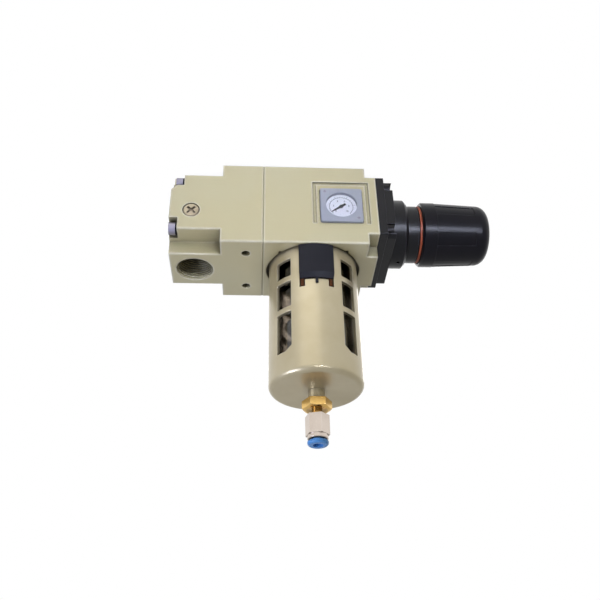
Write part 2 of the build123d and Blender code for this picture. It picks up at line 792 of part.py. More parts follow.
with BuildPart() as baffle_screw:
    with BuildSketch(level(baffle_top - baffle_thickness)):
        Circle(baffle_screw_diameter / 2)
    extrude(amount=baffle_thickness + tube_cap)
    with BuildSketch(level(baffle_top - baffle_thickness)):
        RegularPolygon(baffle_screw_diameter, 6)
    extrude(amount=-baffle_screw_diameter / 2)

# Drain housing: flange inside the bowl, float guide above, thread through the guard below
flange_bottom = bowl_bottom + bowl_wall
flange_top = flange_bottom + drain_flange_thickness
tube_radius = drain_tube_diameter / 2
with BuildPart() as drain_housing:
    revolve(outline(upright, [(drain_bore / 2, boss_end), (tube_radius, boss_end),
                              (tube_radius, flange_bottom),
                              (drain_flange_diameter / 2, flange_bottom),
                              (drain_flange_diameter / 2, flange_top), (tube_radius, flange_top),
                              (tube_radius, drain_tube_top),
                              (drain_cap_diameter / 2, drain_tube_top),
                              (drain_cap_diameter / 2, drain_tube_top + drain_cap_thickness),
                              (0, drain_tube_top + drain_cap_thickness),
                              (0, drain_tube_top - drain_cap_thickness),
                              (drain_bore / 2, drain_tube_top - drain_cap_thickness)]),
            axis=bowl_axis)

# Float that opens the drain when water lifts it
with BuildPart() as drain_float:
    float_bore = tube_radius + float_gap
    with BuildSketch(upright) as float_profile:
        with Locations(((float_bore + float_diameter / 2) / 2, float_rest + float_height / 2)):
            Rectangle(float_diameter / 2 - float_bore, float_height)
        fillet(float_profile.vertices(), float_height / 6)
    revolve(axis=bowl_axis)

# Brass hexagon that clamps the drain to the guard, with the neck of the fitting
with BuildPart() as drain_nut:
    with BuildSketch(level(boss_end)):
        RegularPolygon(nut_across_flats / 2, 6, major_radius=False, rotation=0)
    extrude(amount=-nut_height)
    corner_radius = nut_across_flats / math.sqrt(3)
    lead = corner_radius - nut_across_flats / 2
    revolve(outline(upright, [(corner_radius, boss_end), (corner_radius + overcut, boss_end),
                              (corner_radius + overcut, nut_end),
                              (nut_across_flats / 2 - lead, nut_end),
                              (corner_radius, nut_end + lead)]),
            axis=bowl_axis, mode=Mode.SUBTRACT)
    with BuildSketch(level(nut_end)):
        Circle(nut_neck_diameter / 2)
    extrude(amount=-nut_neck_length)
    with BuildSketch(level(boss_end)):
        Circle(drain_bore / 2)
    extrude(amount=-nut_height - nut_neck_length, mode=Mode.SUBTRACT)

# Push-in fitting for the drain tube: hexagon above, round collar below
with BuildPart() as fitting_body:
    with BuildSketch(level(fitting_top)):
        RegularPolygon(fitting_across_flats / 2, 6, major_radius=False,
                       rotation=fitting_hex_turn)
    extrude(amount=-fitting_hex_length)
    with BuildSketch(level(fitting_top - fitting_hex_length)):
        Circle(fitting_diameter / 2)
    extrude(amount=fitting_hex_length - fitting_length)
    chamfer(fitting_body.faces().sort_by(Axis.Z)[0].edges(), fitting_diameter / 30)
    with BuildSketch(level(fitting_end)):
        Circle(fitting_bore / 2)
    extrude(amount=fitting_bore_depth, mode=Mode.SUBTRACT)
    with BuildSketch(level(fitting_end)):
        Circle(drain_bore / 2)
    extrude(amount=fitting_length, mode=Mode.SUBTRACT)

# Seal ring and toothed grip ring inside the fitting
seal_floor = fitting_end + fitting_bore_depth - seal_thickness
sleeve_top = ring_top + ring_sleeve_length
grip_low = sleeve_top + ring_travel + 3 * axial_gap
with BuildPart() as fitting_seal:
    with BuildSketch(level(seal_floor)):
        Circle(fitting_bore / 2)
        Circle(tube_socket_diameter / 2, mode=Mode.SUBTRACT)
    extrude(amount=seal_thickness)

with BuildPart() as grip_ring:
    with BuildSketch(level(grip_low)):
        Circle(fitting_bore / 2)
        Circle(tube_socket_diameter / 2, mode=Mode.SUBTRACT)
        with PolarLocations(tube_socket_diameter / 2, grip_teeth):
            Rectangle(2 * grip_notch, grip_notch, mode=Mode.SUBTRACT)
    extrude(amount=grip_thickness)

# Release ring that is pressed in to free the tube
with BuildPart() as release_ring:
    with BuildSketch(level(ring_top)):
        Circle(ring_diameter / 2)
    extrude(amount=-ring_thickness)
    fillet(release_ring.edges().group_by(Axis.Z)[0], ring_edge_radius)
    with BuildSketch(level(ring_top)):
        Circle(fitting_bore / 2 - ring_sleeve_gap)
    extrude(amount=ring_sleeve_length)
    with BuildSketch(level(ring_top - ring_thickness)):
        Circle(tube_socket_diameter / 2)
    extrude(amount=ring_thickness + ring_sleeve_length, mode=Mode.SUBTRACT)

# Valve seat pressed in the bore, and the guide behind the poppet
with BuildPart() as valve_seat:
    with BuildSketch(across(seat_start)):
        Circle(valve_bore_diameter / 2)
        Circle(seat_orifice / 2, mode=Mode.SUBTRACT)
    extrude(amount=seat_length)

with BuildPart() as valve_guide:
    with BuildSketch(across(guide_start)):
        Circle(valve_bore_diameter / 2)
        Circle(poppet_tail_diameter / 2 + running_clearance, mode=Mode.SUBTRACT)
        with PolarLocations(valve_bore_diameter / 3, guide_holes):
            Circle(guide_hole_diameter / 2, mode=Mode.SUBTRACT)
    extrude(amount=guide_length)

# Poppet with its tail, and the stem that the diaphragm pushes
poppet_face = seat_start - poppet_gap
poppet_back = poppet_face - poppet_length
with BuildPart() as valve_poppet:
    with BuildSketch(across(poppet_back)):
        Circle(poppet_diameter / 2)
    extrude(amount=poppet_length)
    chamfer(valve_poppet.edges().sort_by(Axis.X)[-1], poppet_length / 5)
    with BuildSketch(across(poppet_back)):
        Circle(poppet_tail_diameter / 2)
    extrude(amount=-poppet_tail_length)

plate_start = body_end + plate_gap
wet_plate_end = body_end - diaphragm_thickness - plate_gap
wet_plate_start = wet_plate_end - wet_plate_thickness
spigot_end = wet_plate_start - spigot_end_length
with BuildPart() as valve_stem:
    with BuildSketch(across(poppet_face)):
        Circle(valve_stem_diameter / 2)
    extrude(amount=spigot_end - poppet_gap - poppet_face)
    fillet(valve_stem.edges().sort_by(Axis.X)[-1], valve_stem_diameter / 5)

# Spring that closes the poppet
guide_end = guide_start + guide_length
valve_spring_start = guide_end + valve_spring_wire
with BuildPart() as valve_spring:
    with BuildLine() as valve_coil:
        Helix(pitch=(poppet_back - valve_spring_start - valve_spring_wire) / valve_spring_turns,
              height=poppet_back - valve_spring_start - valve_spring_wire,
              radius=(valve_spring_diameter - valve_spring_wire) / 2,
              center=(valve_spring_start, 0, axis_z), direction=(1, 0, 0))
    with BuildSketch(Plane(origin=valve_coil.line @ 0, z_dir=valve_coil.line % 0)):
        RegularPolygon(valve_spring_wire / 2, 8)
    sweep(path=valve_coil.line, is_frenet=True)

# Rubber diaphragm clamped between body and bonnet
with BuildPart() as diaphragm:
    with BuildSketch(across(body_end - diaphragm_thickness)):
        Circle(diaphragm_diameter / 2)
        Circle(diaphragm_hole / 2, mode=Mode.SUBTRACT)
    extrude(amount=diaphragm_thickness)

# Plates on both sides of it: the spring presses one, and the spigot joins them
with BuildPart() as diaphragm_plate:
    with BuildSketch(across(plate_start)):
        Circle(plate_diameter / 2)
    extrude(amount=plate_thickness)
    with BuildSketch(across(plate_start)):
        Circle(spigot_diameter / 2)
    extrude(amount=spigot_end - plate_start)

with BuildPart() as wet_side_plate:
    with BuildSketch(across(wet_plate_start)):
        Circle(wet_plate_diameter / 2)
        Circle(spigot_diameter / 2, mode=Mode.SUBTRACT)
    extrude(amount=wet_plate_thickness)

# Bonnet: stepped flange, collar and neck over the spring chamber
with BuildPart() as bonnet:
    with BuildSketch(across(body_end)):
        RectangleRounded(section_width, flange_height, edge_radius)
    extrude(amount=flange_thickness)
    with BuildSketch(across(step_start)):
        RectangleRounded(step_width, step_height, step_radius)
        with GridLocations(bonnet_screw_spacing_y, bonnet_screw_spacing_z, 2, 2):
            Circle(screw_notch_diameter / 2, mode=Mode.SUBTRACT)
    extrude(amount=step_thickness)
    with BuildSketch(across(collar_start)):
        Circle(collar_diameter / 2)
    extrude(amount=collar_length)
    chamfer(bonnet.edges().sort_by(Axis.X)[-1], collar_chamfer)
    with BuildSketch(across(neck_start)):
        Circle(neck_diameter / 2)
    extrude(amount=neck_length)
    with BuildSketch(across(body_end)):
        Circle(spring_chamber_diameter / 2)
    extrude(amount=end_wall_start - body_end, mode=Mode.SUBTRACT)
    with BuildSketch(across(end_wall_start)):
        Rectangle(keyway_diameter, keyway_width)
    extrude(amount=-keyway_length, mode=Mode.SUBTRACT)
    with BuildSketch(across(end_wall_start)):
        Circle(journal_diameter / 2 + running_clearance)
    extrude(amount=bonnet_end_wall, mode=Mode.SUBTRACT)
    with BuildSketch(across(band_start)):
        Circle(neck_diameter / 2)
        Circle(neck_diameter / 2 - band_depth, mode=Mode.SUBTRACT)
    extrude(amount=band_width, mode=Mode.SUBTRACT)
    with BuildSketch(across(body_end)):
        with GridLocations(bonnet_screw_spacing_y, bonnet_screw_spacing_z, 2, 2):
            Circle(block_screw_diameter / 2 + screw_clearance)
    extrude(amount=flange_thickness, mode=Mode.SUBTRACT)
    with BuildSketch(Plane.XY.offset(axis_z - collar_diameter / 2)):
        with Locations(((collar_start + neck_start) / 2, 0)):
            Circle(vent_diameter / 2)
    extrude(amount=collar_diameter / 4, mode=Mode.SUBTRACT)

# Four socket head screws of the bonnet
with BuildPart() as bonnet_screws:
    with BuildSketch(across(step_start)):
        with GridLocations(bonnet_screw_spacing_y, bonnet_screw_spacing_z, 2, 2):
            Circle(block_screw_diameter / 2)
    extrude(amount=-bonnet_screw_length)
    with BuildSketch(across(step_start)):
        with GridLocations(bonnet_screw_spacing_y, bonnet_screw_spacing_z, 2, 2):
            Circle(screw_head_diameter / 2)
    extrude(amount=screw_head_height)
    with BuildSketch(across(step_start + screw_head_height)):
        with GridLocations(bonnet_screw_spacing_y, bonnet_screw_spacing_z, 2, 2):
            RegularPolygon(screw_socket_across / 2, 6, major_radius=False)
    extrude(amount=-screw_socket_depth, mode=Mode.SUBTRACT)

# Coloured band that shows when the knob is pulled out and free to turn
with BuildPart() as lock_band:
    with BuildSketch(across(band_start)):
        Circle(neck_diameter / 2)
        Circle(neck_diameter / 2 - band_depth, mode=Mode.SUBTRACT)
    extrude(amount=band_width)

# Adjusting screw: thread in the chamber, journal in the end wall, hexagon for the knob
thread_start = plate_start + plate_thickness + screw_tip_gap
collar_stop_end = end_wall_start - axial_gap
collar_stop_start = collar_stop_end - collar_stop_thickness
clip_start = neck_end + axial_gap
hexagon_start = clip_start + clip_thickness
with BuildPart() as adjusting_screw:
    with BuildSketch(across(thread_start)):
        Circle(screw_thread_diameter / 2)
    extrude(amount=collar_stop_start - thread_start)
    with BuildSketch(across(collar_stop_start)):
        Circle(collar_stop_diameter / 2)
    extrude(amount=collar_stop_thickness)
    with BuildSketch(across(collar_stop_end)):
        Circle(journal_diameter / 2)
    extrude(amount=hexagon_start - collar_stop_end)
    with BuildSketch(across(hexagon_start)):
        RegularPolygon(hexagon_across / 2, 6, major_radius=False)
    extrude(amount=screw_end - hexagon_start)

# Clip that holds the screw in the end wall
with BuildPart() as retaining_clip:
    with BuildSketch(across(clip_start)):
        Circle(clip_diameter / 2)
        Circle(journal_diameter / 2, mode=Mode.SUBTRACT)
        with Locations((clip_diameter / 2, 0)):
            Rectangle(clip_diameter / 2, clip_diameter / 4, mode=Mode.SUBTRACT)
    extrude(amount=clip_thickness)

# Adjusting nut: slides along the chamber, its keys in the keyways stop it turning
adjusting_nut_end = collar_stop_start - nut_rest_gap
adjusting_nut_start = adjusting_nut_end - nut_thickness
with BuildPart() as adjusting_nut:
    with BuildSketch(across(adjusting_nut_start)):
        Circle(nut_body_diameter / 2)
        Rectangle(nut_key_diameter, nut_key_width)
        Circle(screw_thread_diameter / 2 + running_clearance, mode=Mode.SUBTRACT)
    extrude(amount=nut_thickness)

# Adjusting spring between the plate and the nut
spring_start = plate_start + plate_thickness + adjusting_spring_wire / 2 + axial_gap
spring_end = adjusting_nut_start - adjusting_spring_wire / 2 - axial_gap
with BuildPart() as adjusting_spring:
    with BuildLine() as adjusting_coil:
        Helix(pitch=(spring_end - spring_start) / adjusting_spring_turns,
              height=spring_end - spring_start,
              radius=(adjusting_spring_diameter - adjusting_spring_wire) / 2,
              center=(spring_start, 0, axis_z), direction=(1, 0, 0))
    with BuildSketch(Plane(origin=adjusting_coil.line @ 0, z_dir=adjusting_coil.line % 0)):
        RegularPolygon(adjusting_spring_wire / 2, 8)
    sweep(path=adjusting_coil.line, is_frenet=True)

# Knob: hollow cap that slides on the neck, with a hexagon socket on the screw
knob_bore = neck_diameter / 2 + knob_neck_gap
knob_outer = knob_mouth_diameter / 2
end_outer = knob_end_diameter / 2
grip_start = knob_start + knob_collar_length
end_round = knob_end - knob_end_radius - knob_crown
wall = knob_outer - knob_bore
with BuildPart() as knob:
    with BuildSketch(lengthwise):
        with BuildLine():
            Polyline((knob_start, knob_bore), (knob_start, knob_outer - wall / 2),
                     (knob_start + wall / 2, knob_outer), (grip_start, knob_outer),
                     (grip_start, knob_outer - knob_collar_step), (end_round, end_outer))
            round_end = (knob_end - knob_crown, end_outer - knob_end_radius)
            TangentArc((end_round, end_outer), round_end, tangent=(1, 0))
            crown_radius = (knob_crown ** 2 + round_end[1] ** 2) / (2 * knob_crown)
            crown_middle = math.sqrt(crown_radius ** 2 - (round_end[1] / 2) ** 2)
            ThreePointArc(round_end, (knob_end - crown_radius + crown_middle, round_end[1] / 2),
                          (knob_end, 0))
            Polyline((knob_end, 0), (knob_hub_start, 0), (knob_hub_start, knob_hub_diameter / 2),
                     (knob_cavity_end, knob_hub_diameter / 2), (knob_cavity_end, knob_bore),
                     (knob_start, knob_bore))
        make_face()
    revolve(axis=knob_axis)
    panel_low = knob_outer - knob_collar_step - grip_panel_depth
    panel_drop = (knob_outer - knob_collar_step - end_outer) / (end_round - grip_start)
    panel_end = grip_start + grip_panel_length
    for step in range(grip_panels):
        turn = grip_panel_turn + step * 360 / grip_panels
        panel = outline(lengthwise.rotated((turn - grip_panel_angle / 2, 0, 0)),
                        [(grip_start, panel_low),
                         (panel_end, panel_low - panel_drop * grip_panel_length),
                         (panel_end, knob_outer + overcut), (grip_start, knob_outer + overcut)])
        revolve(panel, axis=knob_axis, revolution_arc=grip_panel_angle, mode=Mode.SUBTRACT)
    with BuildSketch(across(knob_hub_start)):
        RegularPolygon(hexagon_across / 2 + hexagon_gap, 6, major_radius=False)
    extrude(amount=knob_cavity_end - knob_hub_start, mode=Mode.SUBTRACT)

# Gauge case: square front frame, round opening, stem behind
with BuildPart() as gauge_case:
    with BuildSketch(front(gauge_from_port, gauge_face, gauge_z)):
        RectangleRounded(gauge_size, gauge_size, gauge_corner)
    extrude(amount=-gauge_proud - gauge_pocket_depth + gauge_pocket_gap)
    chamfer(gauge_case.faces().sort_by(Axis.Y)[0].edges(), gauge_edge)
    with BuildSketch(front(gauge_from_port, gauge_face, gauge_z)):
        Circle(gauge_opening / 2)
    extrude(amount=-gauge_cavity_depth, mode=Mode.SUBTRACT)
    with BuildSketch(front(gauge_from_port, gauge_face, gauge_z)):
        with Locations((-gauge_screw_offset[0], gauge_screw_offset[1]),
                       (gauge_screw_offset[0], -gauge_screw_offset[1])):
            Circle(gauge_screw_diameter / 2)
    extrude(amount=-gauge_screw_length, mode=Mode.SUBTRACT)
    with BuildSketch(front(gauge_from_port, -section_width / 2 + gauge_pocket_depth
                           - gauge_pocket_gap, gauge_z)):
        Circle(gauge_stem_diameter / 2)
    extrude(amount=-gauge_stem_length - gauge_pocket_gap)

# Seal under the gauge, in the pocket
with BuildPart() as gauge_seal:
    with BuildSketch(front(gauge_from_port, -section_width / 2 + gauge_pocket_depth, gauge_z)):
        Circle(gauge_stem_diameter / 2 + seal_thickness)
        Circle(gauge_stem_diameter / 2, mode=Mode.SUBTRACT)
    extrude(amount=gauge_pocket_gap)

dial_face = gauge_face + dial_depth
with BuildPart() as gauge_dial:
    with BuildSketch(front(gauge_from_port, dial_face, gauge_z)):
        Circle(gauge_opening / 2)
        Circle(dial_hole / 2, mode=Mode.SUBTRACT)
    extrude(amount=-dial_thickness)

with BuildPart() as gauge_lens:
    with BuildSketch(front(gauge_from_port, gauge_face + lens_depth, gauge_z)):
        Circle(gauge_opening / 2)
    extrude(amount=-lens_thickness)

# Pointer: tapered hand with a broad tail on its hub and shaft
with BuildPart() as gauge_pointer:
    pointer_plane = front(gauge_from_port, dial_face - pointer_lift, gauge_z)
    with BuildSketch(pointer_plane):
        with BuildLine():
            Polyline(*[Vector(*corner).rotate(Axis.Z, pointer_rest_angle) for corner in (
                (-pointer_tail, pointer_tail_width / 2), (0, pointer_width),
                (pointer_length, pointer_tip_width / 2), (pointer_length, -pointer_tip_width / 2),
                (0, -pointer_width), (-pointer_tail, -pointer_tail_width / 2))], close=True)
        make_face()
        Circle(pointer_hub_diameter / 2)
    extrude(amount=pointer_thickness)
    with BuildSketch(pointer_plane):
        Circle(pointer_shaft_diameter / 2)
    extrude(amount=-pointer_shaft_depth)

with BuildPart() as gauge_screws:
    with BuildSketch(front(gauge_from_port, gauge_face, gauge_z)):
        with Locations((-gauge_screw_offset[0], gauge_screw_offset[1]),
                       (gauge_screw_offset[0], -gauge_screw_offset[1])):
            Circle(gauge_screw_diameter / 2)
    extrude(amount=-gauge_screw_length)
    with BuildSketch(front(gauge_from_port, gauge_face, gauge_z)):
        with Locations((-gauge_screw_offset[0], gauge_screw_offset[1]),
                       (gauge_screw_offset[0], -gauge_screw_offset[1])):
            Rectangle(gauge_slot_length, gauge_slot_width)
            Rectangle(gauge_slot_width, gauge_slot_length)
    extrude(amount=-gauge_screw_recess, mode=Mode.SUBTRACT)

pieces = {
    "port_block": port_block, "gallery_seals": gallery_seals, "block_screws": block_screws,
    "block_washers": block_washers, "port_plug": port_plug, "body": body, "bowl": bowl,
    "bowl_seal": bowl_seal, "bowl_guard": bowl_guard, "lock_button": lock_button,
    "lock_springs": lock_springs, "swirl_ring": swirl_ring, "filter_tube": filter_tube,
    "filter_element": filter_element, "baffle": baffle, "baffle_screw": baffle_screw,
    "drain_housing": drain_housing, "drain_float": drain_float, "drain_nut": drain_nut,
    "fitting_body": fitting_body, "fitting_seal": fitting_seal, "grip_ring": grip_ring,
    "release_ring": release_ring, "valve_seat": valve_seat, "valve_guide": valve_guide,
    "valve_poppet": valve_poppet, "valve_stem": valve_stem, "valve_spring": valve_spring,
    "diaphragm": diaphragm, "diaphragm_plate": diaphragm_plate, "wet_side_plate": wet_side_plate,
    "bonnet": bonnet, "bonnet_screws": bonnet_screws, "lock_band": lock_band,
    "adjusting_screw": adjusting_screw, "retaining_clip": retaining_clip,
    "adjusting_nut": adjusting_nut, "adjusting_spring": adjusting_spring, "knob": knob,
    "gauge_case": gauge_case, "gauge_seal": gauge_seal, "gauge_dial": gauge_dial,
    "gauge_lens": gauge_lens, "gauge_pointer": gauge_pointer, "gauge_screws": gauge_screws,
}

os.makedirs("parts", exist_ok=True)
for label, piece in pieces.items():
    piece.part.label = label
    export_step(piece.part, f"parts/{label}.step")
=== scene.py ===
import enum
import json
import logging
import math
from dataclasses import dataclass

import bpy
from mathutils import Matrix, Vector


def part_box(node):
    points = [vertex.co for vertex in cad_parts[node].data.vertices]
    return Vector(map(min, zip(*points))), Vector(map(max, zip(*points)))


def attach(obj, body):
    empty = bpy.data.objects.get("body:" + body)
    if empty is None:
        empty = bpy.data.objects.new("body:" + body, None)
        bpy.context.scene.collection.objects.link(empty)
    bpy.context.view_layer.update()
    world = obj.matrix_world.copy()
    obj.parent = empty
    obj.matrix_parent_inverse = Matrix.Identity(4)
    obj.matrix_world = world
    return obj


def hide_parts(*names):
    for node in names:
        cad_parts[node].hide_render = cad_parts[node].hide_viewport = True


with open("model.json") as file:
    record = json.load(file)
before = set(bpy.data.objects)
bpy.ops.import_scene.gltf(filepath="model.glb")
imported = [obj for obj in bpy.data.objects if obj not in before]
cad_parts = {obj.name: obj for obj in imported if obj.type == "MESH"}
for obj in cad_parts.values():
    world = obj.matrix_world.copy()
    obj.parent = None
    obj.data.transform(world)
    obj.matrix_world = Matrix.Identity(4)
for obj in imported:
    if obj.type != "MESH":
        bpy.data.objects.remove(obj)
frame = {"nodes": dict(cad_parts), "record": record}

MM = 0.001
# Dark brown of the painted shade that is laid into corners, seams and recesses.
CREVICE_SHADE_COLOUR = "1e1b16"
LOG = logging.getLogger("filter_regulator")


def linear(code: str, alpha: float = 1.0) -> tuple[float, float, float, float]:
    """Turn an sRGB hex colour into the linear values that a shader takes.

    Args:
        code: Six hex digits, red first.
        alpha: Fourth value of the result.

    Returns:
        Linear red, green and blue, and alpha.
    """
    parts = [int(code[at:at + 2], 16) / 255 for at in (0, 2, 4)]
    red, green, blue = (p / 12.92 if p <= 0.04045 else ((p + 0.055) / 1.055) ** 2.4
                        for p in parts)
    return red, green, blue, alpha


def add_node(tree: bpy.types.NodeTree, kind: str, inputs: dict | None = None,
             **settings: object) -> bpy.types.Node:
    """Add a node with its settings, its values and its links.

    Args:
        tree: Node tree that gets the node.
        kind: Node type, such as ShaderNodeBump.
        inputs: Socket name or number, and the value or output socket for it.
        **settings: Properties of the node itself.

    Returns:
        The new node.
    """
    node = tree.nodes.new(kind)
    for name, value in settings.items():
        setattr(node, name, value)
    for key, value in (inputs or {}).items():
        if isinstance(value, bpy.types.NodeSocket):
            tree.links.new(value, node.inputs[key])
        else:
            node.inputs[key].default_value = value
    return node


def seen_directly(tree: bpy.types.NodeTree) -> bpy.types.NodeSocket:
    """Tell rays that end in the eye, in a mirror or in glass from those that only give light.

    Args:
        tree: Node tree that gets the nodes.

    Returns:
        Output that is 1 for a camera, glossy or transmission ray.
    """
    path = add_node(tree, "ShaderNodeLightPath")
    seen = add_node(tree, "ShaderNodeMath", {
        0: path.outputs["Is Camera Ray"], 1: path.outputs["Is Glossy Ray"]},
        operation="MAXIMUM").outputs[0]
    return add_node(tree, "ShaderNodeMath", {
        0: seen, 1: path.outputs["Is Transmission Ray"]}, operation="MAXIMUM").outputs[0]


def new_material(name: str) -> tuple[bpy.types.Material, bpy.types.NodeTree,
                                     bpy.types.NodeSocket]:
    """Start a material with an empty node tree.

    Args:
        name: Name of the material.

    Returns:
        The material, its node tree, and the output with the object's own coordinates.
    """
    material = bpy.data.materials.new(name)
    material.use_nodes = True
    tree = material.node_tree
    tree.nodes.clear()
    return material, tree, add_node(tree, "ShaderNodeTexCoord").outputs["Object"]


class Surface(enum.Enum):
    """How a surface was made, which decides the pattern in its relief."""

    CAST = "painted over a die casting"
    MOULDED = "moulded in a spark-eroded tool"
    TURNED = "cut on a lathe"
    DRAWN = "drawn and rolled lengthwise"
    PLAIN = "smooth"


class Along(enum.Enum):
    """Axis that a turned or drawn surface follows."""

    X = (1.0, 0.0, 0.0)
    Y = (0.0, 1.0, 0.0)
    Z = (0.0, 0.0, 1.0)


@dataclass(frozen=True)
class Finish:
    """One finish: its colour with painted shade in its crevices and painted highlights on its
    edges, how it reflects, and the relief its making left.
    """

    name: str
    colour: str
    patches: str
    metallic: float = 0.0
    roughness: float = 0.5
    roughness_spread: float = 0.06
    specular: float = 0.5
    surface: Surface = Surface.MOULDED
    along: Along = Along.Z
    grain_mm: float = 0.5
    relief_mm: float = 0.01
    patch_mm: float = 14.0
    patch_share: float = 0.5
    edge_mm: float = 0.3
    # Pale colour painted along convex edges: a painted highlight, partly paint worn thin there.
    edge_highlight_and_wear_colour: str = ""
    edge_highlight_and_wear_share: float = 0.5
    # Painted shade in corners, seams and recesses, from ambient occlusion: its reach and its
    # strength.
    crevice_shade_mm: float = 4.0
    crevice_shade_share: float = 0.35
    coat: float = 0.0

    def build(self) -> bpy.types.Material:
        """Make the material.

        Returns:
            The Blender material with its node tree.
        """
        material, tree, place = new_material(self.name)
        grain = self.relief(tree, place)
        rounded = add_node(tree, "ShaderNodeBevel", {"Radius": self.edge_mm * MM},
                           samples=4).outputs[0]
        roughness = add_node(tree, "ShaderNodeMapRange", {
            "Value": grain, "To Min": self.roughness - self.roughness_spread,
            "To Max": self.roughness + self.roughness_spread}).outputs["Result"]
        normal = add_node(tree, "ShaderNodeBump", {
            "Height": grain, "Distance": self.relief_mm * MM, "Normal": rounded}
        ).outputs["Normal"]
        shader = add_node(tree, "ShaderNodeBsdfPrincipled", {
            "Base Color": self.tone(tree, place, rounded), "Roughness": roughness,
            "Normal": normal, "Metallic": self.metallic, "Specular IOR Level": self.specular,
            "Coat Weight": self.coat, "Coat Roughness": 0.15})
        add_node(tree, "ShaderNodeOutputMaterial", {"Surface": shader.outputs[0]})
        return material

    def tone(self, tree: bpy.types.NodeTree, place: bpy.types.NodeSocket,
             rounded: bpy.types.NodeSocket) -> bpy.types.NodeSocket:
        """Mix the colour: soft patches, painted shade in the crevices, and pale painted
        highlights on the outer edges, partly worn paint.

        Args:
            tree: Node tree of the material.
            place: Object coordinates.
            rounded: Normal of the surface with its edges rounded.

        Returns:
            Output with the colour.
        """
        patches = add_node(tree, "ShaderNodeTexNoise", {
            "Vector": place, "Scale": 1 / (self.patch_mm * MM), "Detail": 3.0}).outputs["Fac"]
        share = add_node(tree, "ShaderNodeMapRange", {
            "Value": patches, "From Min": 0.35, "From Max": 0.65, "To Max": self.patch_share}
        ).outputs["Result"]
        colour = add_node(tree, "ShaderNodeMix", {
            0: share, 6: linear(self.colour), 7: linear(self.patches)},
            data_type="RGBA").outputs[2]
        # Painted shade: ambient occlusion darkens the colour toward a dark brown in corners,
        # seams, recesses and under overhanging parts.
        open_air = add_node(tree, "ShaderNodeAmbientOcclusion", {
            "Distance": self.crevice_shade_mm * MM}, samples=4).outputs["AO"]
        painted_shade = add_node(tree, "ShaderNodeMapRange", {
            "Value": open_air, "From Min": 0.25, "From Max": 0.9, "To Min": self.crevice_shade_share,
            "To Max": 0.0}).outputs["Result"]
        colour = add_node(tree, "ShaderNodeMix", {
            0: painted_shade, 6: colour, 7: linear(CREVICE_SHADE_COLOUR)}, data_type="RGBA").outputs[2]
        if not self.edge_highlight_and_wear_colour:
            return colour
        # Painted highlight: a pale colour on convex edges, where the rounded normal turns from
        # the true one; partly paint worn thin there.
        flat = add_node(tree, "ShaderNodeNewGeometry").outputs["Normal"]
        agree = add_node(tree, "ShaderNodeVectorMath", {0: rounded, 1: flat},
                         operation="DOT_PRODUCT").outputs["Value"]
        highlight_and_wear = add_node(tree, "ShaderNodeMapRange", {
            "Value": agree, "From Min": 0.99, "From Max": 0.92, "To Max": self.edge_highlight_and_wear_share}
        ).outputs["Result"]
        outward = add_node(tree, "ShaderNodeMapRange", {
            "Value": open_air, "From Min": 0.8, "From Max": 0.93}).outputs["Result"]
        highlight_and_wear = add_node(tree, "ShaderNodeMath", {0: highlight_and_wear, 1: outward},
                        operation="MULTIPLY").outputs[0]
        return add_node(tree, "ShaderNodeMix", {
            0: highlight_and_wear, 6: colour, 7: linear(self.edge_highlight_and_wear_colour)}, data_type="RGBA").outputs[2]

    def relief(self, tree: bpy.types.NodeTree, place: bpy.types.NodeSocket
               ) -> bpy.types.NodeSocket:
        """Add the pattern that the way of making leaves.

        Args:
            tree: Node tree of the material.
            place: Object coordinates.

        Returns:
            Output with the height of the relief, from 0 to 1.
        """
        fine = 1 / (self.grain_mm * MM)
        if self.surface is Surface.TURNED:
            rings = Vector(self.along.value) * fine
            across = add_node(tree, "ShaderNodeMapping", {
                "Vector": place, "Scale": rings + Vector((1.0, 1.0, 1.0))}, vector_type="POINT")
            return add_node(tree, "ShaderNodeTexNoise", {
                "Vector": across.outputs[0], "Scale": 1.0, "Detail": 2.0}).outputs["Fac"]
        if self.surface is Surface.DRAWN:
            run = Vector(self.along.value)
            scale = (Vector((1.0, 1.0, 1.0)) - run) * fine + run * fine / 40
            lines = add_node(tree, "ShaderNodeMapping", {"Vector": place, "Scale": scale},
                             vector_type="POINT")
            return add_node(tree, "ShaderNodeTexNoise", {
                "Vector": lines.outputs[0], "Scale": 1.0, "Detail": 3.0}).outputs["Fac"]
        if self.surface is Surface.CAST:
            return add_node(tree, "ShaderNodeTexNoise", {
                "Vector": place, "Scale": fine, "Detail": 5.0, "Roughness": 0.65}).outputs["Fac"]
        if self.surface is Surface.PLAIN:
            return add_node(tree, "ShaderNodeTexNoise", {
                "Vector": place, "Scale": fine, "Detail": 1.0}).outputs["Fac"]
        return add_node(tree, "ShaderNodeTexVoronoi", {
            "Vector": place, "Scale": fine}, feature="SMOOTH_F1").outputs["Distance"]


@dataclass(frozen=True)
class ClearFinish:
    """A clear moulding, with the slight haze and waviness of its surface."""

    name: str
    colour: str
    transmission: float
    cover: float
    roughness: float
    haze_mm: float
    ior: float

    def build(self) -> bpy.types.Material:
        """Make the material.

        Returns:
            The Blender material with its node tree.
        """
        material, tree, place = new_material(self.name)
        haze = add_node(tree, "ShaderNodeTexNoise", {
            "Vector": place, "Scale": 1 / (self.haze_mm * MM), "Detail": 2.0}).outputs["Fac"]
        rough = add_node(tree, "ShaderNodeMapRange", {
            "Value": haze, "To Min": self.roughness * 0.5, "To Max": self.roughness * 1.5}
        ).outputs["Result"]
        wave = add_node(tree, "ShaderNodeBump", {"Height": haze, "Distance": 0.05 * MM})
        shader = add_node(tree, "ShaderNodeBsdfPrincipled", {
            "Base Color": linear(self.colour), "Roughness": rough, "IOR": self.ior,
            "Alpha": self.cover, "Transmission Weight": self.transmission,
            "Normal": wave.outputs[0]})
        add_node(tree, "ShaderNodeOutputMaterial", {"Surface": shader.outputs[0]})
        return material
